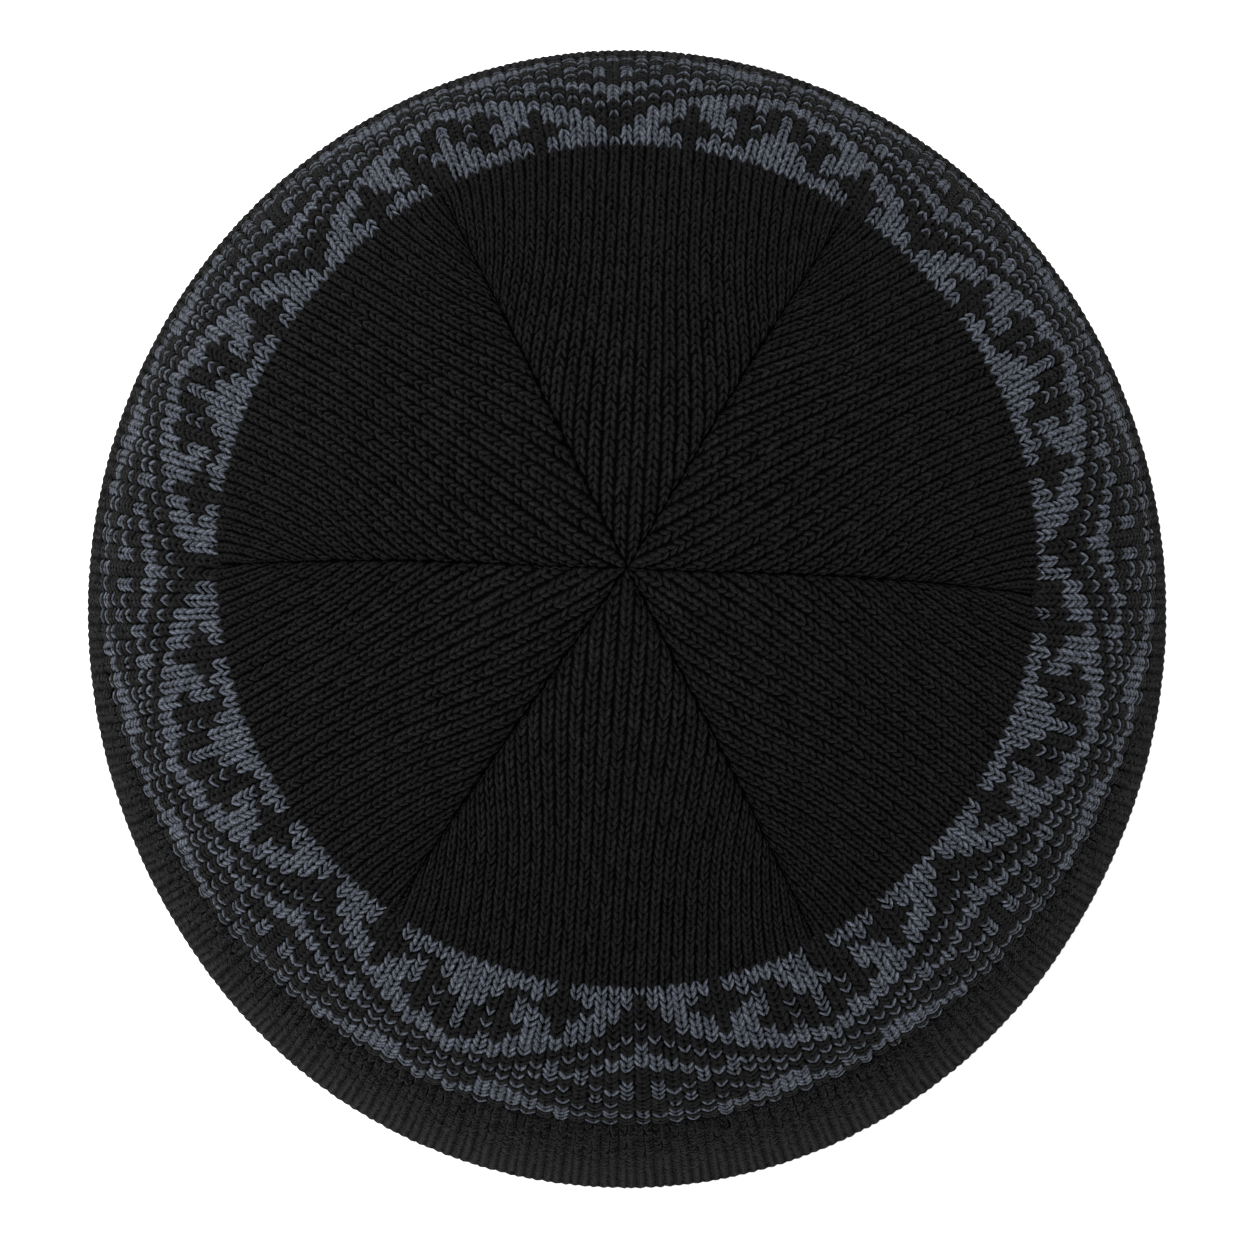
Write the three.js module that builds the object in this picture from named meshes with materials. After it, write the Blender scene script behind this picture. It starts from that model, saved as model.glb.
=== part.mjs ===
// Knit beanie: six crown gores, a patterned body band and a plain lower band with a turned-under hem.
// Millimetres, +Z up. The rim stands on z = 0, the front of the hat faces -Y.

import * as THREE from 'three';

// The whole hat
const HEIGHT = 122; // floor to the smooth dome's top, before the seams sink it
const RIM_WIDTH = 188; // ear to ear, outside the rim
const LENGTH_RATIO = 1.04; // front to back over ear to ear
const DOME_POWER = 4.5; // how long the side stays upright before it turns in
const DOME_ROUND = 0.69; // how round the shoulder is
const TOP_LEAN = 6.6; // the top lies this far in front of the rim's middle
const LEAN_POWER = 12; // the lean is in the crown, the sides stand straight

// The knit
const WALL = 2.6; // one layer of knit
const HEM_WALL = 5.4; // two layers, the band and its turned-under hem
const GAP = 0.3; // between neighbouring pieces
const RIM_ROUND = 1.6; // the fold at the rim
const HEM_TOP = 60; // height of the hem's edge on the inside
const HEM_STEP = 2.5; // height over which the inside steps back to one layer

// Where the pieces meet
const PATTERN_FOOT = 70.3; // height of the line between the lower band and the pattern
const CROWN_EDGE = 68.3; // half width of the ring between the pattern and the crown
const TOP_HOLE = 1.2; // radius of the hole where the six gores meet
const SEAM_DEGREES = [-4.5, 57, 117.5, 180.5, 235.5, 297]; // seams, counted from +X towards the back

// The sunk seams
const SEAM_DEPTH = 1.8; // how far the gores dip at a seam
const SEAM_ROUND = 4; // distance over which a gore rises from its seam
const SEAM_FADE = 16; // distance above the crown's edge where the seams are at full depth

// Facets
const RING_SIDES = 72;
const PATTERN_ROWS = 5;
const BAND_ROWS = 6;
const HEM_ROWS = 3;
const GORE_ACROSS = 12;
const GORE_ALONG = 12;
const FOLD_STEPS = 3;

const BLACK_YARN = { color: 0x1c1c1d, roughness: 0.95, metalness: 0 };
const SLATE_YARN = { color: 0x515764, roughness: 0.95, metalness: 0 };

const RIM_HALF = RIM_WIDTH / 2;

// The dome's outside: half width at a height, and height at a half width.
function domeRadius(height) {
  return RIM_HALF * (1 - (height / HEIGHT) ** DOME_POWER) ** DOME_ROUND;
}

function domeHeight(radius) {
  return HEIGHT * (1 - (radius / RIM_HALF) ** (1 / DOME_ROUND)) ** (1 / DOME_POWER);
}

// Angle of the dome's side from level, at a half width: nothing at the top, upright at the rim.
function domeSlope(radius) {
  const reach = (radius / RIM_HALF) ** (1 / DOME_ROUND);
  const fall = (HEIGHT / (DOME_POWER * DOME_ROUND * radius)) * reach;
  return Math.atan(fall * (1 - reach) ** (1 / DOME_POWER - 1));
}

// A point of the hat's section, this deep under the dome's outside.
function sectionPoint(radius, depth) {
  const slope = domeSlope(radius);
  return new THREE.Vector2(radius - depth * Math.sin(slope), domeHeight(radius) - depth * Math.cos(slope));
}

// Stretches a round hat front to back and leans its crown to the front.
function shapeToHead(geometry) {
  const position = geometry.attributes.position;
  for (let i = 0; i < position.count; i += 1) {
    const lean = TOP_LEAN * (Math.max(position.getZ(i), 0) / HEIGHT) ** LEAN_POWER;
    position.setY(i, position.getY(i) * LENGTH_RATIO - lean);
  }
  geometry.computeVertexNormals();
  return geometry;
}

// A ring of knit from its closed section, given from the outer foot up and back down the inside.
function knitRing(section) {
  const closed = [...section, section[0].clone()];
  return shapeToHead(new THREE.LatheGeometry(closed, RING_SIDES).rotateX(Math.PI / 2));
}

// Evenly spaced values from one to another, both ends included.
function spread(from, to, steps) {
  return Array.from({ length: steps + 1 }, (_, i) => from + ((to - from) * i) / steps);
}

// Pattern band: one layer of knit between the crown's edge and the lower band.
function patternBand() {
  const foot = domeRadius(PATTERN_FOOT + GAP / 2);
  const top = CROWN_EDGE + (GAP / 2) * Math.cos(domeSlope(CROWN_EDGE));
  const radii = spread(foot, top, PATTERN_ROWS);
  const outside = radii.map((radius) => sectionPoint(radius, 0));
  const inside = radii.map((radius) => sectionPoint(radius, WALL)).reverse();
  return knitRing([...outside, ...inside]);
}

// Quarter round of the rim's fold about its centre, between two angles.
function foldArc(centreRadius, fromAngle, toAngle) {
  return spread(fromAngle, toAngle, FOLD_STEPS).map(
    (angle) =>
      new THREE.Vector2(
        centreRadius + RIM_ROUND * Math.cos(angle),
        RIM_ROUND + RIM_ROUND * Math.sin(angle),
      ),
  );
}

// Lower band: the plain band and its hem, two layers up to the hem's edge, flat where it stands.
function lowerBand() {
  const top = PATTERN_FOOT - GAP / 2;
  const outsideHeights = spread(RIM_ROUND, top, BAND_ROWS).slice(1);
  const insideHeights = spread(HEM_TOP - HEM_STEP, RIM_ROUND, HEM_ROWS).slice(0, -1);
  const rimOutside = domeRadius(RIM_ROUND);
  const section = [
    ...foldArc(rimOutside - RIM_ROUND, -Math.PI / 2, 0),
    ...outsideHeights.map((height) => sectionPoint(domeRadius(height), 0)),
    sectionPoint(domeRadius(top), WALL),
    sectionPoint(domeRadius(HEM_TOP), WALL),
    ...insideHeights.map((height) => sectionPoint(domeRadius(height), HEM_WALL)),
    ...foldArc(rimOutside - HEM_WALL + RIM_ROUND, -Math.PI, -Math.PI / 2),
  ];
  return knitRing(section);
}

// How far a gore dips near its seam: most at the seam, nothing where it meets the pattern band.
function seamDip(seamDistance, radius) {
  const fade = THREE.MathUtils.smoothstep(CROWN_EDGE - radius, 0, SEAM_FADE);
  return SEAM_DEPTH * fade * Math.exp(-seamDistance / SEAM_ROUND);
}

// One gore between two seams: a block whose width runs across the gore, whose length runs from the
// crown's edge to the top hole and whose thickness is the knit.
function crownGore(fromDegrees, toDegrees) {
  const middle = THREE.MathUtils.degToRad((fromDegrees + toDegrees) / 2);
  const half = THREE.MathUtils.degToRad((toDegrees - fromDegrees) / 2);
  const edge = CROWN_EDGE - (GAP / 2) * Math.cos(domeSlope(CROWN_EDGE));
  const geometry = new THREE.BoxGeometry(1, 1, 1, GORE_ACROSS, GORE_ALONG, 1);
  const position = geometry.attributes.position;
  for (let i = 0; i < position.count; i += 1) {
    const across = Math.sin(position.getX(i) * Math.PI);
    const radius = THREE.MathUtils.lerp(edge, TOP_HOLE, position.getY(i) + 0.5);
    const reach = half - GAP / 2 / radius;
    const dip = seamDip(radius * reach * (1 - Math.abs(across)), radius);
    const depth = dip + WALL * (0.5 - position.getZ(i));
    const point = sectionPoint(radius, depth);
    const angle = middle + across * reach;
    position.setXYZ(i, point.x * Math.cos(angle), point.x * Math.sin(angle), point.y);
  }
  return shapeToHead(geometry);
}

function piece(name, geometry, look) {
  const mesh = new THREE.Mesh(geometry, new THREE.MeshStandardMaterial(look));
  mesh.name = name;
  return mesh;
}

const beanie = new THREE.Group();
beanie.add(piece('lower_band', lowerBand(), BLACK_YARN));
beanie.add(piece('pattern_band', patternBand(), SLATE_YARN));
SEAM_DEGREES.forEach((from, i) => {
  const turn = i + 1 === SEAM_DEGREES.length ? 360 : 0;
  const to = SEAM_DEGREES[(i + 1) % SEAM_DEGREES.length] + turn;
  beanie.add(piece(`crown_gore_${i + 1}`, crownGore(from, to), BLACK_YARN));
});

export default beanie;
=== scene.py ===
# Knit beanie, near-black with a slate patterned band, standing on its rim.
# Metres, +Z up, the front of the hat faces -Y.

import math

import bpy
import numpy as np
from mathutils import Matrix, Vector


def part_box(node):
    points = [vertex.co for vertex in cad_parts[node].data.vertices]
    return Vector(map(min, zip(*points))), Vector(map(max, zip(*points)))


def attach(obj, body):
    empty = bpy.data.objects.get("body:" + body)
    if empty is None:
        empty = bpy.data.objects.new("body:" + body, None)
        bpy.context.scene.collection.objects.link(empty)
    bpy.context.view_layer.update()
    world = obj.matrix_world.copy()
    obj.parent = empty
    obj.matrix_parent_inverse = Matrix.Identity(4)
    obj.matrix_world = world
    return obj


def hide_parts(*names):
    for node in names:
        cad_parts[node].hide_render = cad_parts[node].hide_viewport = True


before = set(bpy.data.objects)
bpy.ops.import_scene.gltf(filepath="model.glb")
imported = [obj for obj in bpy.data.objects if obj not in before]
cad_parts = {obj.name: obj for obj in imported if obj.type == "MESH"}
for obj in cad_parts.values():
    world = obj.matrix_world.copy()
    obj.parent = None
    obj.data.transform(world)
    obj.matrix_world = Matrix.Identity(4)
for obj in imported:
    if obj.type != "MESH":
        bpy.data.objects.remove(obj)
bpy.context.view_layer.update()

# Lower band
# Plain black knit from the rim up to the pattern, in fine acrylic yarn. It is two layers thick, because a
# hem is turned up inside it, and the hat stands on the fold at the rim.

band_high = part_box("lower_band")[1]
RIM_HALF = band_high[0]
LENGTH_RATIO = band_high[1] / band_high[0]
BAND_TOP = band_high[2]
RIM_ROUND = 0.0016
HEM_WALL = 0.0054
HEM_TOP = 0.060
HEM_STEP = 0.0025
KNIT_WALL = 0.0026

# The dome that the whole hat lies on, upright at the rim and leaning to the front at the top
DOME_TOP = 0.122
DOME_POWER = 4.5
DOME_ROUND = 0.69
TOP_LEAN = 0.0066
LEAN_POWER = 12
LEAST_ROOM = 1e-9


def dome_radius(rise):
    """Half width of the dome at a share of its height."""
    return RIM_HALF * (1 - rise**DOME_POWER) ** DOME_ROUND


def dome_slope(rise):
    """Angle of the dome's side from level: upright at the rim, nothing at the top."""
    turned_in = RIM_HALF * DOME_ROUND * DOME_POWER * rise ** (DOME_POWER - 1)
    room = np.maximum(1 - rise**DOME_POWER, LEAST_ROOM)
    return np.arctan2(DOME_TOP, turned_in * room ** (DOME_ROUND - 1))


def to_head(angle, radius, height):
    """A point of a round hat, stretched front to back and leaning to the front at its top."""
    lean = TOP_LEAN * (np.maximum(height, 0) / DOME_TOP) ** LEAN_POWER
    across = radius * np.cos(angle)
    along = radius * np.sin(angle) * LENGTH_RATIO - lean
    return np.stack([across, along, height + 0 * angle], axis=-1)


def on_dome(angle, rise, depth):
    """A point this deep under the dome's outside."""
    slope = dome_slope(rise)
    radius = dome_radius(rise) - depth * np.sin(slope)
    return to_head(angle, radius, DOME_TOP * rise - depth * np.cos(slope))


# Way up the dome's side from the floor, measured along the knit at points that crowd towards the top
MERIDIAN_POINTS = 4001
MERIDIAN_CROWDING = 3
MERIDIAN_RISES = 1 - (1 - np.linspace(0, 1, MERIDIAN_POINTS)) ** MERIDIAN_CROWDING
meridian_steps = np.hypot(np.diff(dome_radius(MERIDIAN_RISES)), DOME_TOP * np.diff(MERIDIAN_RISES))
MERIDIAN_WAYS = np.concatenate([[0], np.cumsum(meridian_steps)])


def rise_at(way):
    """Share of the dome's height at this way up its side."""
    return np.interp(way, MERIDIAN_WAYS, MERIDIAN_RISES)


def way_at(rise):
    """Way up the dome's side at this share of its height."""
    return np.interp(rise, MERIDIAN_RISES, MERIDIAN_WAYS)


def on_side(angle, way, depth):
    """A point on the hat's side, which rounds under at the rim's fold."""
    turn = np.clip((RIM_ROUND - way) / RIM_ROUND, 0, math.pi / 2)
    fold_radius = RIM_HALF - RIM_ROUND + (RIM_ROUND - depth) * np.cos(turn)
    fold_height = RIM_ROUND - (RIM_ROUND - depth) * np.sin(turn)
    fold = to_head(angle, fold_radius, fold_height)
    side = on_dome(angle, rise_at(np.maximum(way, RIM_ROUND)), depth)
    return np.where((way < RIM_ROUND)[..., None], fold, side)


# One leg of a stitch, shaped from a small ball: it starts at the point of the V, swells and leans out to the
# shoulder. Across is in wales, up is in courses, and depths are under the outside of the knit. The hollow of
# its sides says how much they lie in the shade of the stitches round it.
LEG_ALONG = [0, 0.146, 0.5, 0.854, 1]
LEG_ACROSS = [0.09, 0.145, 0.25, 0.355, 0.41]
LEG_UP = [-0.8, -0.56, 0, 0.56, 0.8]
LEG_HALF_WIDTH = [0, 0.165, 0.21, 0.165, 0]
LEG_CREST = [0.0007, 0.0003, 0.0001, 0.0004, 0.0011]
LEG_FOOT = [0.0016, 0.0017, 0.0017, 0.0017, 0.0016]
LEG_SHOULDER = 0.0006
LEG_SIDE_HOLLOW = 0.6
LEG_APART = 0.25

bpy.ops.object.select_all(action="DESELECT")
bpy.ops.mesh.primitive_uv_sphere_add(segments=4, ring_count=4, radius=1)
bpy.ops.object.mode_set(mode="EDIT")
bpy.ops.mesh.quads_convert_to_tris(quad_method="SHORTEST_DIAGONAL")
bpy.ops.object.mode_set(mode="OBJECT")
ball = bpy.context.object
ball_points = np.array([vertex.co for vertex in ball.data.vertices])
leg_faces = np.array([face.vertices for face in ball.data.polygons])
bpy.data.objects.remove(ball)

# The triangles come in no fixed order, so each is turned to its lowest point and then they are sorted
first_corner = leg_faces.argmin(axis=1)[:, None]
leg_faces = np.take_along_axis(leg_faces, (first_corner + np.arange(3)) % 3, axis=1)
leg_faces = leg_faces[np.lexsort(leg_faces.T)]

# Each point of the ball is at one of the leg's tips, at its crest, at its foot or at one of its two sides
leg_along = (ball_points[:, 2] + 1) / 2
leg_lift = np.sign(np.round(ball_points[:, 0], 3))
leg_side = np.sign(np.round(ball_points[:, 1], 3))
crest = np.interp(leg_along, LEG_ALONG, LEG_CREST)
foot = np.interp(leg_along, LEG_ALONG, LEG_FOOT)
leg_middle = np.interp(leg_along, LEG_ALONG, LEG_ACROSS)
leg_width = leg_side * np.interp(leg_along, LEG_ALONG, LEG_HALF_WIDTH)
leg_depth = np.select([leg_lift > 0, leg_lift < 0], [crest, foot], np.minimum(crest + LEG_SHOULDER, foot))
leg_is_tip = np.isin(leg_along, [0, 1])
leg_hollow = np.select([leg_lift > 0, leg_lift < 0], [0.0, 1.0], LEG_SIDE_HOLLOW)

# A stitch is this leg and its mirror image
STITCH_BRANCH = np.repeat([LEG_APART, -LEG_APART], len(leg_along))
STITCH_LEAN = np.concatenate([leg_middle - LEG_APART, LEG_APART - leg_middle])
STITCH_WIDTH = np.concatenate([leg_width, -leg_width])
STITCH_UP = np.tile(np.interp(leg_along, LEG_ALONG, LEG_UP), 2)
STITCH_DEPTH = np.tile(leg_depth, 2)
STITCH_HOLLOW = np.tile(leg_hollow, 2)
STITCH_IS_TIP = np.tile(leg_is_tip, 2)
STITCH_FACES = np.concatenate([leg_faces, leg_faces[:, ::-1] + len(leg_along)])
STITCH_UV = np.tile(np.stack([leg_along, (1 + leg_side) / 2], axis=-1), (2, 1))

# No two legs are drawn alike: spreads of their size and lean, of their depth, and of their place in wales
# and courses
SIZE_SPREAD = 0.08
LEAN_SPREAD = 0.3
DEPTH_SPREAD = 0.00006
WALE_SPREAD = 0.025
COURSE_SPREAD = 0.05
SPREAD_SEED = 11
loose_hand = np.random.default_rng(SPREAD_SEED)

# What a stitch alone among those of the other colour is scaled by
LONE_WIDTH = 0.5
LONE_LENGTH = 0.78
LONE_LEAN = 1.3
LONE_APART = 0.75


def knit_piece(name, place, wales, courses, yarn, shape, alone=0.0, painted_light=0.0):
    """Joins one stitch for each wale and course given into one piece. The shape scales the legs' width,
    length, lean, distance, depth and looseness and shades their tips. A stitch alone among others is small,
    and painted light makes a stitch lighter."""
    count = len(wales)

    def each_leg(middle, spread):
        """A value of its own for each leg, at all of the leg's points."""
        return np.repeat(loose_hand.normal(middle, spread, (count, 2)), len(leg_along), axis=1)

    loose = shape["loose"]
    plump = each_leg(1, SIZE_SPREAD)
    sunk = each_leg(0, DEPTH_SPREAD * loose)
    lean = shape["lean"] * (1 + each_leg(0, LEAN_SPREAD * loose)) * (1 + (LONE_LEAN - 1) * alone)
    beside = each_leg(0, WALE_SPREAD * loose)
    above = each_leg(0, COURSE_SPREAD * loose)
    width = shape["width"] * plump * (1 + (LONE_WIDTH - 1) * alone)
    length = shape["length"] * plump * (1 + (LONE_LENGTH - 1) * alone)
    apart = shape["apart"] * STITCH_BRANCH * (1 + (LONE_APART - 1) * alone)
    across = wales[:, None] + apart + STITCH_LEAN * lean + STITCH_WIDTH * width + beside
    up = courses[:, None] + STITCH_UP * length + above
    depth = shape["depth"] * np.maximum(STITCH_DEPTH + sunk, 0)
    points = place(across, up, depth).reshape(-1, 3)
    starts = len(STITCH_UP) * np.arange(count)
    faces = (STITCH_FACES + starts[:, None, None]).reshape(-1, 3)
    mesh = bpy.data.meshes.new(name)
    mesh.from_pydata(points.tolist(), [], faces.tolist())
    corner = np.empty(len(mesh.loops), dtype=int)
    mesh.loops.foreach_get("vertex_index", corner)
    strand = mesh.uv_layers.new(name="strand")
    strand.uv.foreach_set("vector", np.tile(STITCH_UV, (count, 1))[corner].ravel())
    tone_and_painted_light = mesh.attributes.new("tone_and_painted_light", "FLOAT", "POINT")
    # Each leg's tone is random, and painted light is added to it where given
    tones_and_painted_light = loose_hand.uniform(0, 1, (count, 2)) + np.reshape(painted_light, (-1, 1))
    tone_and_painted_light.data.foreach_set("value", np.repeat(tones_and_painted_light.ravel(), len(leg_along)))
    hollow = mesh.attributes.new("hollow", "FLOAT", "POINT")
    hollows = np.where(STITCH_IS_TIP, shape["tips"], STITCH_HOLLOW)
    hollow.data.foreach_set("value", np.tile(hollows, count))
    mesh.shade_smooth()
    mesh.materials.append(yarn)
    piece = bpy.data.objects.new(name, mesh)
    bpy.context.scene.collection.objects.link(piece)
    return piece


def add_node(tree, kind, links=(), **values):
    """Adds a node, sets its values and joins its inputs to the sockets given by name."""
    node = tree.nodes.new(kind)
    for name, value in values.items():
        setattr(node, name, value)
    for name, source in dict(links).items():
        if isinstance(source, bpy.types.NodeSocket):
            tree.links.new(source, node.inputs[name])
        else:
            node.inputs[name].default_value = source
    return node


# Yarn: two plies with a slow twist and a speckle of fine fibres, each stitch a little lighter or darker.
# Little light comes out of the hollows between the stitches.
PLY_TWIST = math.radians(38)
PLY_LENGTHS = 2.2
PLY_RELIEF = 0.6
FIBRE_LIGHT = 1.1
DARKEST_FIBRE = 0.2
spun = bpy.data.node_groups.new("spun_yarn", "ShaderNodeTree")
spun.interface.new_socket("Colour", in_out="INPUT", socket_type="NodeSocketColor")
for name in ["Hollow", "Unevenness", "Speckle"]:
    spun.interface.new_socket(name, in_out="INPUT", socket_type="NodeSocketFloat")
spun.interface.new_socket("Colour", in_out="OUTPUT", socket_type="NodeSocketColor")
spun.interface.new_socket("Height", in_out="OUTPUT", socket_type="NodeSocketFloat")
spun_in = add_node(spun, "NodeGroupInput")
spun_out = add_node(spun, "NodeGroupOutput")
strand_map = add_node(spun, "ShaderNodeUVMap", uv_map="strand")
strand_turn = add_node(
    spun,
    "ShaderNodeMapping",
    {"Vector": strand_map.outputs["UV"], "Rotation": (0, 0, PLY_TWIST), "Scale": (PLY_LENGTHS, 1, 1)},
)
plies = add_node(
    spun,
    "ShaderNodeTexWave",
    {"Vector": strand_turn.outputs["Vector"], "Scale": 0.9, "Distortion": 1.2, "Detail": 1.0},
    bands_direction="Y",
)
place_on_hat = add_node(spun, "ShaderNodeTexCoord")
fibres = add_node(
    spun,
    "ShaderNodeTexNoise",
    {"Vector": place_on_hat.outputs["Object"], "Scale": 1700.0, "Detail": 3.0, "Roughness": 0.75},
)
# The tone attribute: each stitch's random tone, plus the band's painted light towards the rim
stitch_tone_and_light = add_node(spun, "ShaderNodeAttribute", attribute_name="tone_and_painted_light")
tone_and_light_middle = add_node(spun, "ShaderNodeMath", {0: stitch_tone_and_light.outputs["Fac"], 1: 0.5}, operation="SUBTRACT")
tone_and_light_swing = add_node(
    spun,
    "ShaderNodeMath",
    {0: tone_and_light_middle.outputs[0], 1: spun_in.outputs["Unevenness"], 2: 1.0},
    operation="MULTIPLY_ADD",
)
# Fibre speckle in the colour, lighter where the fibres stand up: partly the fibres' own tone, partly painted
# sheen on the fuzz
fibre_middle = add_node(spun, "ShaderNodeMath", {0: fibres.outputs["Fac"], 1: 0.5}, operation="SUBTRACT")
fibre_light = add_node(
    spun,
    "ShaderNodeMath",
    {0: fibre_middle.outputs[0], 1: spun_in.outputs["Speckle"], 2: FIBRE_LIGHT},
    operation="MULTIPLY_ADD",
)
fibre_swing = add_node(
    spun,
    "ShaderNodeMath",
    {0: fibre_light.outputs[0], 1: DARKEST_FIBRE},
    operation="MAXIMUM",
)
stitch_hollow = add_node(spun, "ShaderNodeAttribute", attribute_name="hollow")
hollow_shade = add_node(
    spun,
    "ShaderNodeMapRange",
    {
        "Value": stitch_hollow.outputs["Fac"],
        "From Min": 0.1,
        "From Max": 0.6,
        "To Min": 1.0,
        "To Max": spun_in.outputs["Hollow"],
    },
)
both_swings = add_node(
    spun,
    "ShaderNodeMath",
    {0: tone_and_light_swing.outputs[0], 1: fibre_swing.outputs[0]},
    operation="MULTIPLY",
)
# The plies are painted lighter on their crests and darker between them: partly the yarn's own twist, partly
# painted highlight and shade
ply_swing = add_node(
    spun,
    "ShaderNodeMapRange",
    {"Value": plies.outputs["Fac"], "To Min": 0.75, "To Max": 1.3},
)
shaded_plies = add_node(
    spun,
    "ShaderNodeMath",
    {0: ply_swing.outputs["Result"], 1: hollow_shade.outputs["Result"]},
    operation="MULTIPLY",
)
all_swings = add_node(
    spun,
    "ShaderNodeMath",
    {0: both_swings.outputs[0], 1: shaded_plies.outputs[0]},
    operation="MULTIPLY",
)
swing_colour = add_node(
    spun,
    "ShaderNodeVectorMath",
    {0: spun_in.outputs["Colour"], 1: all_swings.outputs[0]},
    operation="MULTIPLY",
)
ply_height = add_node(
    spun,
    "ShaderNodeMath",
    {0: plies.outputs["Fac"], 1: PLY_RELIEF, 2: fibres.outputs["Fac"]},
    operation="MULTIPLY_ADD",
)
spun.links.new(swing_colour.outputs[0], spun_out.inputs["Colour"])
spun.links.new(ply_height.outputs[0], spun_out.inputs["Height"])


def yarn_material(name, colour, hollow, unevenness, fuzz, speckle, gloss, nap, bumps):
    """Yarn of one colour. Hollow is the light left between the stitches, unevenness the difference from leg
    to leg and speckle that from fibre to fibre. Fuzz and nap are the weight and width of its sheen."""
    material = bpy.data.materials.new(name)
    material.use_nodes = True
    tree = material.node_tree
    surface = tree.nodes["Principled BSDF"]
    surface.inputs["Roughness"].default_value = 0.9
    surface.inputs["Specular IOR Level"].default_value = gloss
    surface.inputs["Sheen Weight"].default_value = fuzz
    surface.inputs["Sheen Roughness"].default_value = nap
    yarn = add_node(tree, "ShaderNodeGroup", node_tree=spun)
    yarn.inputs["Colour"].default_value = colour
    yarn.inputs["Hollow"].default_value = hollow
    yarn.inputs["Unevenness"].default_value = unevenness
    yarn.inputs["Speckle"].default_value = speckle
    tree.links.new(yarn.outputs["Colour"], surface.inputs["Base Color"])
    bump = add_node(tree, "ShaderNodeBump", {"Strength": 0.5, "Distance": bumps})
    tree.links.new(yarn.outputs["Height"], bump.inputs["Height"])
    tree.links.new(bump.outputs["Normal"], surface.inputs["Normal"])
    return material


band_yarn = yarn_material(
    "black_band_stitches",
    colour=(0.0030, 0.0030, 0.0031, 1),
    hollow=0.32,
    unevenness=1.0,
    fuzz=0.046,
    speckle=13.0,
    gloss=0.004,
    nap=0.08,
    bumps=0.0003,
)

# Band's stitches: as many wales as eight repeats of the pattern above it
BAND_WALES = 208
BAND_COURSES = 40
FRONT = -math.pi / 2
FIRST_COURSE = 0.0001
band_way = way_at(BAND_TOP / DOME_TOP)
BAND_COURSE = (band_way - FIRST_COURSE) / BAND_COURSES

# The hat is pulled a little to the front at its top, so on its sides the wales lean back to the rim
WALE_LEAN = 0.17
LEAN_START = 0.105


def wale_angle(wale, way):
    """Angle round the hat of a wale at this way up its side."""
    top_angle = FRONT + 2 * math.pi * wale / BAND_WALES
    drop = np.maximum(LEAN_START - np.maximum(way, 0), 0)
    return top_angle + WALE_LEAN * drop / RIM_HALF * np.cos(top_angle)


# The line where the band meets the pattern hangs lower on the sides, most on the right, and dips a little at
# the very front
SIDE_DROP = 0.0042
RIGHT_DROP = 0.0006
BACK_RISE = 0.003
FRONT_RISE = 0.002
FRONT_DIP = 0.0007
SIDE_POWER = 16
DIP_POWER = 16


def line_drop(wale):
    """How far the line between the band and the pattern hangs down at a wale."""
    angle = FRONT + 2 * math.pi * wale / BAND_WALES
    right = np.cos(angle)
    back = np.sin(angle)
    side = SIDE_DROP + RIGHT_DROP * right
    at_back = right**2 * side - back**2 * BACK_RISE
    at_front = right**SIDE_POWER * (side + FRONT_RISE) - FRONT_RISE + back**DIP_POWER * FRONT_DIP
    return np.where(back > 0, at_back, at_front)


def on_lower_band(wale, course, depth):
    """A point of the lower band, this deep under its outside."""
    way = FIRST_COURSE + course * (BAND_COURSE - line_drop(wale) / BAND_COURSES)
    return on_side(wale_angle(wale, way), way, depth)


# The stitches are four pieces, each a quarter of the way round, long and flat and close together. They are
# painted lighter towards the rim: painted light for the floor's bounce light and the sheen of the fuzz
# there.
BAND_SHAPE = {
    "width": 1.08,
    "length": 1.35,
    "lean": 0.4,
    "apart": 1.0,
    "depth": 0.3,
    "tips": 0.2,
    "loose": 1.4,
}
BAND_STITCH_MIDDLE = 0.4
BAND_QUARTERS = 4
QUARTER_WALES = BAND_WALES // BAND_QUARTERS
# How much painted light the band's stitches get at the rim, fading to none at the pattern
RIM_PAINTED_LIGHT = 1.5
for quarter in range(BAND_QUARTERS):
    wale, course = np.meshgrid(
        quarter * QUARTER_WALES + np.arange(QUARTER_WALES), np.arange(BAND_COURSES) + BAND_STITCH_MIDDLE
    )
    band_stitches = knit_piece(
        f"lower_band_stitches_{quarter + 1}",
        on_lower_band,
        wale.ravel(),
        course.ravel(),
        band_yarn,
        BAND_SHAPE,
        painted_light=RIM_PAINTED_LIGHT * (1 - course.ravel() / BAND_COURSES),
    )
    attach(band_stitches, "root")

# Relief of plain knit on the walls under the stitches: short arcs in rows, each wale a little apart from the
# next
ROW_RELIEF = 0.5
ROW_SLANT = 1.4
RELIEF_LOWEST = -ROW_RELIEF
RELIEF_HIGHEST = 1 + ROW_RELIEF
knit_relief = bpy.data.node_groups.new("knit_relief", "ShaderNodeTree")
knit_relief.interface.new_socket("Slant", in_out="INPUT", socket_type="NodeSocketFloat")
knit_relief.interface.new_socket("Height", in_out="OUTPUT", socket_type="NodeSocketFloat")
relief_in = add_node(knit_relief, "NodeGroupInput")
relief_out = add_node(knit_relief, "NodeGroupOutput")
knit_place = add_node(knit_relief, "ShaderNodeUVMap", uv_map="knit")
knit_axes = add_node(knit_relief, "ShaderNodeSeparateXYZ", {"Vector": knit_place.outputs["UV"]})
from_wale = add_node(
    knit_relief,
    "ShaderNodeMath",
    {0: knit_axes.outputs["X"], 1: 0.5},
    operation="PINGPONG",
)
slanted = add_node(
    knit_relief,
    "ShaderNodeMath",
    {0: from_wale.outputs[0], 1: relief_in.outputs["Slant"], 2: knit_axes.outputs["Y"]},
    operation="MULTIPLY_ADD",
)
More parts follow.
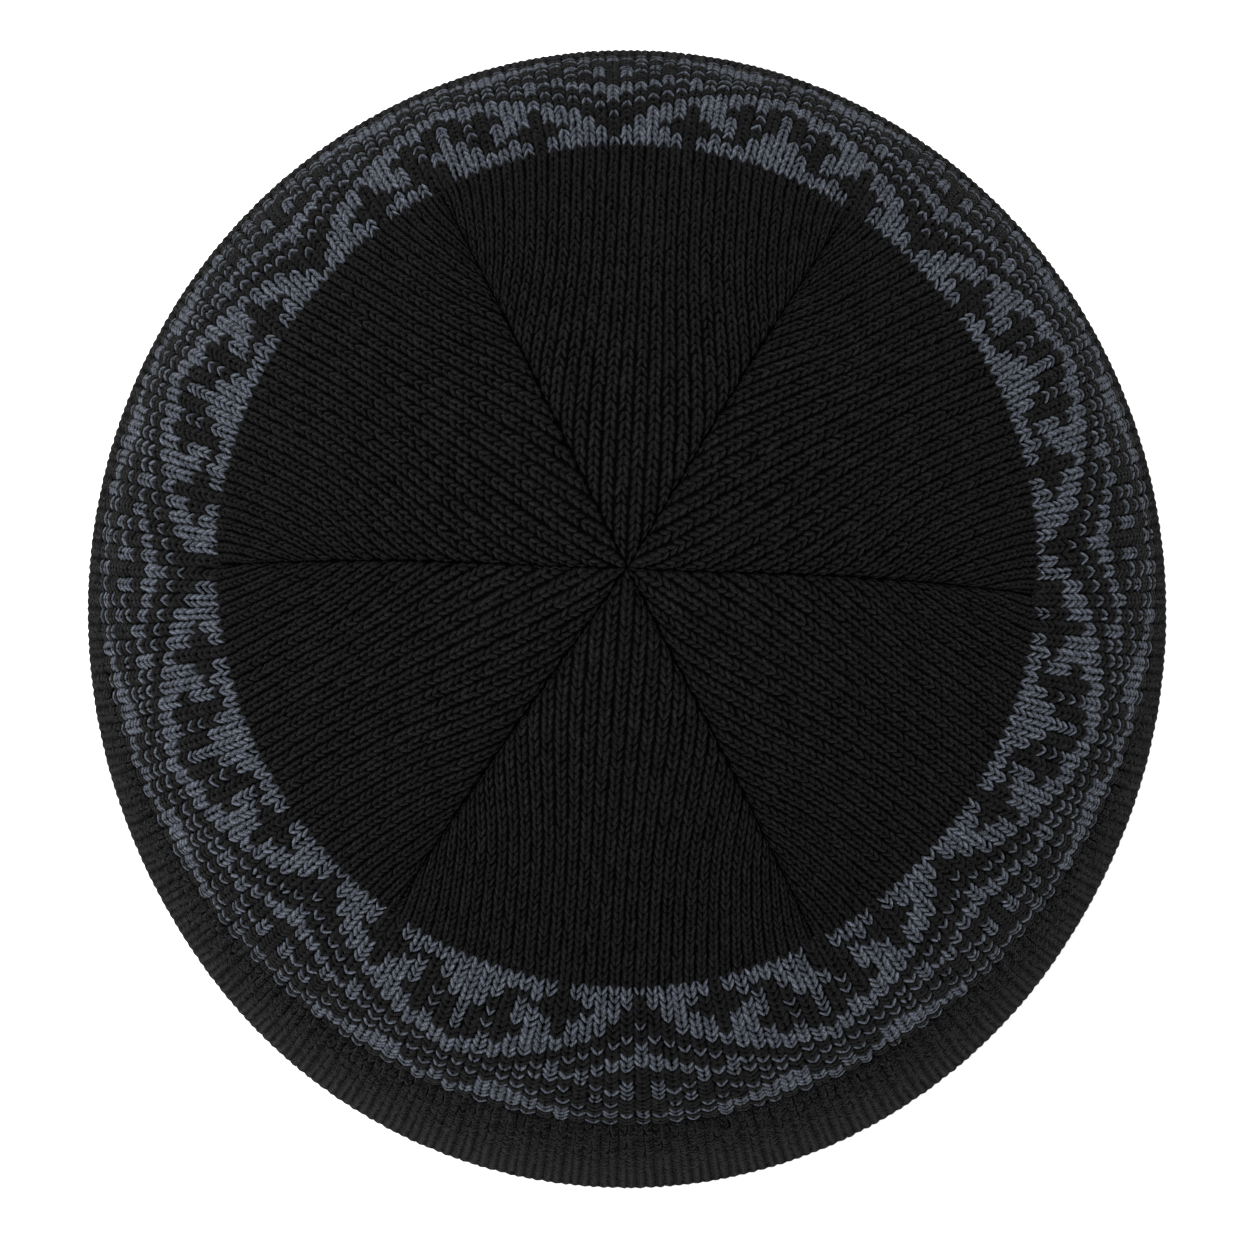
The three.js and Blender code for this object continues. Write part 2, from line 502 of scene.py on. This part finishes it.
row_turn = add_node(
    knit_relief,
    "ShaderNodeMath",
    {0: slanted.outputs[0], 1: 2 * math.pi},
    operation="MULTIPLY",
)
row_wave = add_node(knit_relief, "ShaderNodeMath", {0: row_turn.outputs[0]}, operation="SINE")
wale_groove = add_node(
    knit_relief,
    "ShaderNodeMapRange",
    {"Value": from_wale.outputs[0], "From Min": 0.3, "From Max": 0.5, "To Min": 1.0, "To Max": 0.0},
    interpolation_type="SMOOTHSTEP",
)
row_height = add_node(
    knit_relief,
    "ShaderNodeMath",
    {0: row_wave.outputs[0], 1: ROW_RELIEF, 2: wale_groove.outputs["Result"]},
    operation="MULTIPLY_ADD",
)
knit_relief.links.new(row_height.outputs[0], relief_out.inputs["Height"])

# Back of the knit, on the inside of the hat
knit_back = bpy.data.materials.new("knit_back")
knit_back.use_nodes = True
back_tree = knit_back.node_tree
back_surface = back_tree.nodes["Principled BSDF"]
back_surface.inputs["Roughness"].default_value = 0.95
back_surface.inputs["Specular IOR Level"].default_value = 0.04
back_surface.inputs["Sheen Weight"].default_value = 0.03
back_rows = add_node(back_tree, "ShaderNodeGroup", node_tree=knit_relief)
back_rows.inputs["Slant"].default_value = ROW_SLANT
back_shade = add_node(
    back_tree,
    "ShaderNodeMapRange",
    {"Value": back_rows.outputs["Height"], "From Min": RELIEF_LOWEST, "From Max": RELIEF_HIGHEST},
)
# The back is painted darker in the low parts of its rows and lighter on the raised ones: painted shade
back_blend = add_node(back_tree, "ShaderNodeMix", {"Factor": back_shade.outputs["Result"]}, data_type="RGBA")
back_blend.inputs["A"].default_value = (0.0015, 0.0015, 0.0016, 1)
back_blend.inputs["B"].default_value = (0.009, 0.009, 0.0094, 1)
back_tree.links.new(back_blend.outputs["Result"], back_surface.inputs["Base Color"])
back_bump = add_node(back_tree, "ShaderNodeBump", {"Strength": 0.8, "Distance": 0.0006})
back_tree.links.new(back_rows.outputs["Height"], back_bump.inputs["Height"])
back_tree.links.new(back_bump.outputs["Normal"], back_surface.inputs["Normal"])


def painted_shadow_material(name, colour, sheen):
    """Painted shadow: the yarn seen in the hollows between the stitches, coloured far darker than the
    stitches and painted darker still in the low parts of its rows, which are like the back of the knit.
    """
    material = bpy.data.materials.new(name)
    material.use_nodes = True
    tree = material.node_tree
    surface = tree.nodes["Principled BSDF"]
    surface.inputs["Roughness"].default_value = 1.0
    surface.inputs["Specular IOR Level"].default_value = 0.0
    surface.inputs["Sheen Weight"].default_value = sheen
    surface.inputs["Sheen Roughness"].default_value = 0.3
    rows = add_node(tree, "ShaderNodeGroup", node_tree=knit_relief)
    rows.inputs["Slant"].default_value = ROW_SLANT
    shade = add_node(
        tree,
        "ShaderNodeMapRange",
        {
            "Value": rows.outputs["Height"],
            "From Min": RELIEF_LOWEST,
            "From Max": RELIEF_HIGHEST,
            "To Min": 0.5,
            "To Max": 1.3,
        },
    )
    shaded = add_node(
        tree,
        "ShaderNodeVectorMath",
        {0: colour, 1: shade.outputs["Result"]},
        operation="MULTIPLY",
    )
    tree.links.new(shaded.outputs[0], surface.inputs["Base Color"])
    bump = add_node(tree, "ShaderNodeBump", {"Strength": 0.5, "Distance": 0.0003})
    tree.links.new(rows.outputs["Height"], bump.inputs["Height"])
    tree.links.new(bump.outputs["Normal"], surface.inputs["Normal"])
    return material


def knit_ring(name, section, outside_count, wale_count, course, painted_shadow):
    """A ring of knit: a torus whose section is moved to the radii and heights given, outside ones first.
    Its painted shadow material is what shows between its stitches."""
    bpy.ops.object.select_all(action="DESELECT")
    bpy.ops.mesh.primitive_torus_add(major_segments=wale_count, minor_segments=len(section))
    ring = bpy.context.object
    ring.name = ring.data.name = name
    angle = np.repeat(FRONT + 2 * math.pi * np.arange(wale_count) / wale_count, len(section))
    radius, height = np.tile(np.array(section), (wale_count, 1)).T
    ring.data.vertices.foreach_set("co", to_head(angle, radius, height).ravel())
    corner = np.empty(len(ring.data.loops), dtype=int)
    ring.data.loops.foreach_get("vertex_index", corner)
    corner = corner.reshape(-1, 4)
    wale = corner // len(section)
    closes_ring = wale.max(axis=1, keepdims=True) == wale_count - 1
    wale = np.where(closes_ring & (wale == 0), wale_count, wale)
    point = corner % len(section)
    closes_section = point.max(axis=1, keepdims=True) == len(section) - 1
    point = np.where(closes_section & (point == 0), len(section), point)
    closed = np.array(section + section[:1])
    lengths = np.concatenate([[0], np.cumsum(np.hypot(*np.diff(closed, axis=0).T))])
    knit_map = ring.data.uv_layers.active
    knit_map.name = "knit"
    knit_map.uv.foreach_set("vector", np.stack([wale, lengths[point] / course], axis=-1).ravel())
    ring.data.update()
    bpy.ops.object.shade_smooth()
    ring.data.materials.clear()
    ring.data.materials.append(painted_shadow)
    ring.data.materials.append(knit_back)
    ring.data.polygons.foreach_set("material_index", (point.max(axis=1) >= outside_count).astype(int))
    return ring


def section_points(heights, depth):
    """Radii and heights of points this deep under the dome's outside, from heights of the outside."""
    rise = np.asarray(heights) / DOME_TOP
    slope = dome_slope(rise)
    radii = dome_radius(rise) - depth * np.sin(slope)
    return list(zip(radii.tolist(), (DOME_TOP * rise - depth * np.cos(slope)).tolist()))


# Wall of the band: its section goes up the outside from the fold, and down the inside over the hem's edge
BAND_SINK = 0.0003
FOLD_POINTS = 5
BAND_OUTSIDE_POINTS = 15
HEM_POINTS = 8
# The band's wall between its stitches is coloured far darker than its yarn: painted shadow
band_painted_shadow = painted_shadow_material("band_painted_shadow", (0.0008, 0.0008, 0.0009), sheen=0.012)
fold_turns = np.linspace(-math.pi / 2, 0, FOLD_POINTS)
fold_radii = RIM_ROUND - BAND_SINK * np.cos(fold_turns)
outer_fold = [
    (RIM_HALF - RIM_ROUND + radius * math.cos(turn), RIM_ROUND + radius * math.sin(turn))
    for turn, radius in zip(fold_turns, fold_radii)
]
inner_fold = [
    (
        RIM_HALF - HEM_WALL + RIM_ROUND - RIM_ROUND * math.cos(turn),
        RIM_ROUND + RIM_ROUND * math.sin(turn),
    )
    for turn in fold_turns[::-1]
]
band_heights = np.linspace(RIM_ROUND, BAND_TOP, BAND_OUTSIDE_POINTS)[1:]
hem_heights = np.linspace(HEM_TOP - HEM_STEP, RIM_ROUND, HEM_POINTS)[:-1]
band_outside = outer_fold + section_points(band_heights, BAND_SINK)
band_inside = (
    section_points([BAND_TOP, HEM_TOP], KNIT_WALL) + section_points(hem_heights, HEM_WALL) + inner_fold
)
band_wall = knit_ring(
    "lower_band_wall",
    band_outside + band_inside,
    len(band_outside),
    BAND_WALES,
    BAND_COURSE,
    band_painted_shadow,
)
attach(band_wall, "root")
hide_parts("lower_band")

# Pattern band
# The body of the hat between the lower band and the crown, knitted in black and slate yarn from a small
# folk chart that repeats eight times round: triangles that hang from the crown and lozenges between them.

# Half of one repeat, from its axis outwards; the other half mirrors it
PATTERN_CHART = [
    "######.#######",
    ".#####.#######",
    ".####...#..###",
    "..##.....#.###",
    "..###...##..##",
    "#..###.###..##",
    "...###.###.#.#",
    ".#..##.##....#",
    "#.#..####..#.#",
    "#..#..####...#",
    "##..#..###.#.#",
    "###..#..####..",
    ".###..#..####.",
    "...##.##..####",
    "....###.#...##",
    ".#..#.##.#.#.#",
    ".#.#....#.#...",
    ".##..#...#..##",
    ".#.#..#.#..#..",
    "...#...#.##..#",
    "..#..#..###.#.",
    "....#..####..#",
    "#.#..#######.#",
    "##############",
    ".....#......#.",
    "#.##.#.##.#.#.",
]
HALF_REPEAT = len(PATTERN_CHART[0]) - 1
REPEAT_WALES = 2 * HALF_REPEAT
PATTERN_COURSES = len(PATTERN_CHART)
PATTERN_TURN = 1
CROWN_EDGE = 0.0683
FOOT_CLOSENESS = 0.12


def dome_rise(radius):
    """Share of the dome's height at a half width."""
    return (1 - (radius / RIM_HALF) ** (1 / DOME_ROUND)) ** (1 / DOME_POWER)


crown_way = way_at(dome_rise(CROWN_EDGE))
PATTERN_COURSE = (crown_way - band_way) / PATTERN_COURSES


def on_pattern(wale, course, depth):
    """A point of the pattern, whose courses are closer and flatter towards the lower band."""
    below = np.clip(1 - course / PATTERN_COURSES, 0, None)
    risen = course * (1 - FOOT_CLOSENESS * below)
    way = band_way + risen * PATTERN_COURSE - line_drop(wale) * below**2
    flatter = 1 + (BAND_SHAPE["depth"] - 1) * below
    return on_side(wale_angle(wale, way), way, depth * flatter)


pattern_black = yarn_material(
    "black_pattern_stitches",
    colour=(0.003, 0.003, 0.0031, 1),
    hollow=0.12,
    unevenness=0.6,
    fuzz=0.011,
    speckle=4.4,
    gloss=0.06,
    nap=0.2,
    bumps=0.0002,
)
slate_yarn = yarn_material(
    "slate_stitches",
    colour=(0.0365, 0.0409, 0.0508, 1),
    hollow=0.25,
    unevenness=0.5,
    fuzz=0.012,
    speckle=4.4,
    gloss=0.06,
    nap=0.2,
    bumps=0.0002,
)
wale, course = np.meshgrid(np.arange(BAND_WALES), np.arange(PATTERN_COURSES))
wale, course = wale.ravel(), course.ravel()
from_axis = np.abs((wale - PATTERN_TURN + HALF_REPEAT) % REPEAT_WALES - HALF_REPEAT)
is_slate = np.array(
    [PATTERN_CHART[PATTERN_COURSES - 1 - row][column] == "#" for row, column in zip(course, from_axis)]
)

# The crown's seams run on into the pattern as short black notches
SEAM_DEGREES = [-4.5, 57, 117.5, 180.5, 235.5, 297]
NOTCH_COURSES = 4
NOTCH_HALF = 1
seam_wales = (np.radians(SEAM_DEGREES) - FRONT) * BAND_WALES / (2 * math.pi)
from_seam = np.abs((wale[:, None] - seam_wales + BAND_WALES / 2) % BAND_WALES - BAND_WALES / 2).min(axis=1)
is_slate &= (from_seam > NOTCH_HALF) | (course < PATTERN_COURSES - NOTCH_COURSES)

# A slate stitch is the more alone, the fewer of the eight round it are slate
CLOSE_NEIGHBOURS = 6
slate_rows = np.pad(is_slate.reshape(PATTERN_COURSES, BAND_WALES).astype(int), ((1, 1), (0, 0)))
slate_sides = slate_rows + np.roll(slate_rows, 1, axis=1) + np.roll(slate_rows, -1, axis=1)
neighbours = (slate_sides[:-2] + slate_sides[1:-1] + slate_sides[2:]).ravel() - is_slate
alone = np.where(is_slate, np.clip(1 - neighbours / CLOSE_NEIGHBOURS, 0, 1), 0)[:, None]

# The stitches are two pieces, one for each colour
PATTERN_SHAPE = {
    "width": 1.1,
    "length": 0.9,
    "lean": 1.2,
    "apart": 0.97,
    "depth": 1.0,
    "tips": 0.5,
    "loose": 1.0,
}
STITCH_MIDDLE = 0.5
for colour, chosen, yarn in [("black", ~is_slate, pattern_black), ("slate", is_slate, slate_yarn)]:
    pattern_stitches = knit_piece(
        f"pattern_band_stitches_{colour}",
        on_pattern,
        wale[chosen],
        course[chosen] + STITCH_MIDDLE,
        yarn,
        PATTERN_SHAPE,
        alone[chosen],
    )
    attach(pattern_stitches, "root")

# Wall of the pattern, which lies deeper under its stitches towards the crown
WALL_SINK = 0.0011
PATTERN_WALL_POINTS = 13
# The pattern's wall between its stitches is coloured far darker than its yarn: painted shadow
pattern_painted_shadow = painted_shadow_material("pattern_painted_shadow", (0.0007, 0.0007, 0.0007), sheen=0.008)
pattern_heights = DOME_TOP * rise_at(np.linspace(band_way, crown_way, PATTERN_WALL_POINTS))
pattern_outside = section_points(pattern_heights, np.linspace(BAND_SINK, WALL_SINK, PATTERN_WALL_POINTS))
pattern_inside = section_points(pattern_heights[::-1], KNIT_WALL)
pattern_wall = knit_ring(
    "pattern_band_wall",
    pattern_outside + pattern_inside,
    len(pattern_outside),
    BAND_WALES,
    PATTERN_COURSE,
    pattern_painted_shadow,
)
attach(pattern_wall, "root")
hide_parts("pattern_band")

# Crown gores
# Six pieces of plain black knit between the pattern and the top, linked along sunk seams. In each gore the
# wales run side by side to the top and end at the seams, where they meet the next gore's like a fish bone.

SEAM_DEPTH = 0.0018
SEAM_ROUND = 0.004
SEAM_FADE = 0.016
CREASE_DEPTH = 0.001
CREASE_ROUND = 0.0009
CREASE_HALF_GAP = 0.00026
CREASE_SCALLOP = 0.8
TOP_HOLE = 0.0007


def seam_dip(seam_distance, radius):
    """How far a gore dips near its seam: most at the seam, nothing at the pattern band."""
    fade = np.clip((CROWN_EDGE - radius) / SEAM_FADE, 0, 1)
    dip = SEAM_DEPTH * np.exp(-seam_distance / SEAM_ROUND)
    return fade**2 * (3 - 2 * fade) * dip


def seam_crease(seam_distance):
    """How far the stitches tuck in at the seam itself."""
    return CREASE_DEPTH * np.exp(-seam_distance / CREASE_ROUND)


# The wales of a gore close up over its first courses, most at its sides, and open again towards the top,
# while its courses go from rings round the hat to straighter rows
CROWN_WALE = 2 * math.pi * CROWN_EDGE / BAND_WALES
CROWN_COURSE = 0.00143
SIDE_WALE = 17
WALES_CLOSE = 0.03
SIDE_WALES_CLOSE = 0.07
COURSES_TO_CLOSE = 20
ROWS_STRAIGHTEN = 0.6
WALES_OPEN = 0.22
FIRST_OPEN_COURSE = 14
COURSES_TO_OPEN = 24


def gore_plan(wale, course, wale_shift):
    """Where a stitch lies on the round plan: beside the gore's middle line and along it."""
    closing = 1 - (1 - np.clip(course / COURSES_TO_CLOSE, 0, 1)) ** 2
    opening = np.clip((course - FIRST_OPEN_COURSE) / COURSES_TO_OPEN, 0, 1)
    widened = WALES_OPEN * opening**2 * (3 - 2 * opening)
    turn = 2 * math.pi * (wale + wale_shift) / BAND_WALES
    narrowed = (WALES_CLOSE + SIDE_WALES_CLOSE * (wale / SIDE_WALE) ** 2) * closing
    beside = CROWN_EDGE * np.sin(turn) * (1 - narrowed) * (1 + widened)
    middle_radius = dome_radius(rise_at(crown_way + course * CROWN_COURSE))
    along = middle_radius - (1 - ROWS_STRAIGHTEN * closing) * beside**2 / (2 * CROWN_EDGE)
    return beside, along


# Each gore takes the stitches of a wide field that fall between its seams and end before the top
GORE_SHAPE = {
    "width": 1.0,
    "length": 0.88,
    "lean": 0.9,
    "apart": 0.84,
    "depth": 1.0,
    "tips": 0.6,
    "loose": 1.0,
}
FIELD_HALF_WALES = 20
FIELD_COURSES = 60
LAST_STITCH = 0.0011
SEAM_OVERLAP = 0.0006
TOP_CLEAR = 0.0004
LEAST_REACH = 0.00005
WALL_GRID = 20
SMOOTH_ANGLE = math.radians(50)
black_yarn = yarn_material(
    "black_stitches",
    colour=(0.0032, 0.0032, 0.0033, 1),
    hollow=0.08,
    unevenness=0.6,
    fuzz=0.004,
    speckle=5.4,
    gloss=0.06,
    nap=0.2,
    bumps=0.0002,
)
# The gores' wall between their stitches is coloured far darker than their yarn: painted shadow
painted_shadow_ground = painted_shadow_material("painted_shadow_ground", (0.0007, 0.0007, 0.0007), sheen=0.0)
next_seams = SEAM_DEGREES[1:] + [SEAM_DEGREES[0] + 360]
for number, (seam, next_seam) in enumerate(zip(SEAM_DEGREES, next_seams), start=1):
    start = math.radians(seam)
    end = math.radians(next_seam)
    middle = (start + end) / 2
    half = (end - start) / 2
    wale_shift = -((middle - FRONT) * BAND_WALES / (2 * math.pi) % 1)

    def on_gore(wale, course, depth):
        """A point of this gore, held between its seams and sunk along them."""
        beside, along = gore_plan(wale, course, wale_shift)
        along = np.maximum(along, TOP_CLEAR)
        gap = CREASE_HALF_GAP * (1 + CREASE_SCALLOP * np.cos(2 * math.pi * course))
        reach = np.maximum(along * math.tan(half) - gap, LEAST_REACH)
        beside = np.clip(beside, -reach, reach)
        radius = np.hypot(beside, along)
        turn = np.arctan2(beside, along)
        seam_distance = radius * (half - np.abs(turn))
        dip = seam_dip(seam_distance, radius) + seam_crease(seam_distance)
        return on_dome(middle + turn, dome_rise(np.minimum(radius, RIM_HALF)), depth + dip)

    wale, course = np.meshgrid(
        np.arange(-FIELD_HALF_WALES, FIELD_HALF_WALES + 1), np.arange(FIELD_COURSES) + STITCH_MIDDLE
    )
    wale, course = wale.ravel(), course.ravel()
    beside, along = gore_plan(wale, course, wale_shift)
    inside = (along > LAST_STITCH) & (np.abs(beside) < along * math.tan(half) + SEAM_OVERLAP)
    gore_stitches = knit_piece(
        f"crown_gore_{number}_stitches", on_gore, wale[inside], course[inside], black_yarn, GORE_SHAPE
    )
    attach(gore_stitches, "root")

    # Wall of the gore: a grid bent to the dome and its seams, then thickened to the inside
    bpy.ops.object.select_all(action="DESELECT")
    bpy.ops.mesh.primitive_grid_add(x_subdivisions=WALL_GRID, y_subdivisions=WALL_GRID, size=2)
    gore_wall = bpy.context.object
    gore_wall.name = gore_wall.data.name = f"crown_gore_{number}_wall"
    flat = np.array([vertex.co for vertex in gore_wall.data.vertices])
    radius = CROWN_EDGE + (TOP_HOLE - CROWN_EDGE) * (flat[:, 1] + 1) / 2
    turn = half * np.sin(flat[:, 0] * math.pi / 2)
    seam_distance = radius * (half - np.abs(turn))
    dip = seam_dip(seam_distance, radius) + seam_crease(seam_distance)
    wall_points = on_dome(middle + turn, dome_rise(radius), WALL_SINK + dip)
    gore_wall.data.vertices.foreach_set("co", wall_points.ravel())
    corner = np.empty(len(gore_wall.data.loops), dtype=int)
    gore_wall.data.loops.foreach_get("vertex_index", corner)
    knit_places = np.stack(
        [radius * np.sin(turn) / CROWN_WALE, (CROWN_EDGE - radius * np.cos(turn)) / CROWN_COURSE], axis=-1
    )
    knit_map = gore_wall.data.uv_layers.active
    knit_map.name = "knit"
    knit_map.uv.foreach_set("vector", knit_places[corner].ravel())
    gore_wall.data.update()
    thicken = gore_wall.modifiers.new("thickness", "SOLIDIFY")
    thicken.thickness = KNIT_WALL - WALL_SINK
    thicken.offset = -1
    thicken.material_offset = 1
    thicken.material_offset_rim = 1
    gore_wall.data.materials.append(painted_shadow_ground)
    gore_wall.data.materials.append(knit_back)
    bpy.ops.object.modifier_apply(modifier=thicken.name)
    bpy.ops.object.shade_smooth_by_angle(angle=SMOOTH_ANGLE)
    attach(gore_wall, "root")
    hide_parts(f"crown_gore_{number}")

# Floor, light and camera
# A pale studio floor in an even white room, one wide soft light overhead and a weaker one low on each side,
# and the camera high over the hat and a little to its front, as in the photograph.

bpy.ops.object.select_all(action="DESELECT")
bpy.ops.mesh.primitive_plane_add(size=6)
floor = bpy.context.object
floor.name = "floor"
floor_paint = bpy.data.materials.new("floor_paint")
floor_paint.use_nodes = True
floor_surface = floor_paint.node_tree.nodes["Principled BSDF"]
floor_surface.inputs["Base Color"].default_value = (0.92, 0.92, 0.92, 1)
floor_surface.inputs["Roughness"].default_value = 0.9
floor.data.materials.append(floor_paint)

room = bpy.data.worlds.new("white_room")
room.use_nodes = True
room.node_tree.nodes["Background"].inputs["Color"].default_value = (1, 1, 1, 1)
room.node_tree.nodes["Background"].inputs["Strength"].default_value = 0.85
bpy.context.scene.world = room


def soft_light(name, size, energy, place, tip):
    """A round soft light, tipped to the side from straight down."""
    light = bpy.data.lights.new(name, "AREA")
    light.shape = "DISK"
    light.size = size
    light.energy = energy
    stand = bpy.data.objects.new(name, light)
    stand.location = place
    stand.rotation_euler = (0, tip, 0)
    bpy.context.scene.collection.objects.link(stand)


OVERHEAD_SIDE = -0.25
OVERHEAD_HEIGHT = 1.62
overhead_tip = math.atan2(OVERHEAD_SIDE, OVERHEAD_HEIGHT)
soft_light("soft_box", 1.6, 62, (OVERHEAD_SIDE, 0, OVERHEAD_HEIGHT), overhead_tip)

FILL_SIZE = 0.4
FILL_AWAY = 1.5
FILL_BACK = 0.1
FILL_HEIGHT = 0.2
FILL_AIM_DROP = 0.14
fill_tip = math.atan2(FILL_AWAY, FILL_AIM_DROP)
soft_light("left_fill", FILL_SIZE, 18, (-FILL_AWAY, FILL_BACK, FILL_HEIGHT), -fill_tip)
soft_light("right_fill", FILL_SIZE, 9, (FILL_AWAY, FILL_BACK, FILL_HEIGHT), fill_tip)

CAMERA_TILT = math.radians(8.4)
CAMERA_AWAY = 1.22
AIM_UP = 0.003
LENS = 195.3
camera = bpy.data.objects.new("camera", bpy.data.cameras.new("camera"))
camera.data.sensor_width = 36
camera.data.lens = LENS
camera.location = (
    0,
    AIM_UP * math.cos(CAMERA_TILT) - CAMERA_AWAY * math.sin(CAMERA_TILT),
    AIM_UP * math.sin(CAMERA_TILT) + CAMERA_AWAY * math.cos(CAMERA_TILT),
)
camera.rotation_euler = (CAMERA_TILT, 0, 0)
bpy.context.scene.collection.objects.link(camera)
bpy.context.scene.camera = camera
bpy.context.scene.view_settings.view_transform = "Standard"
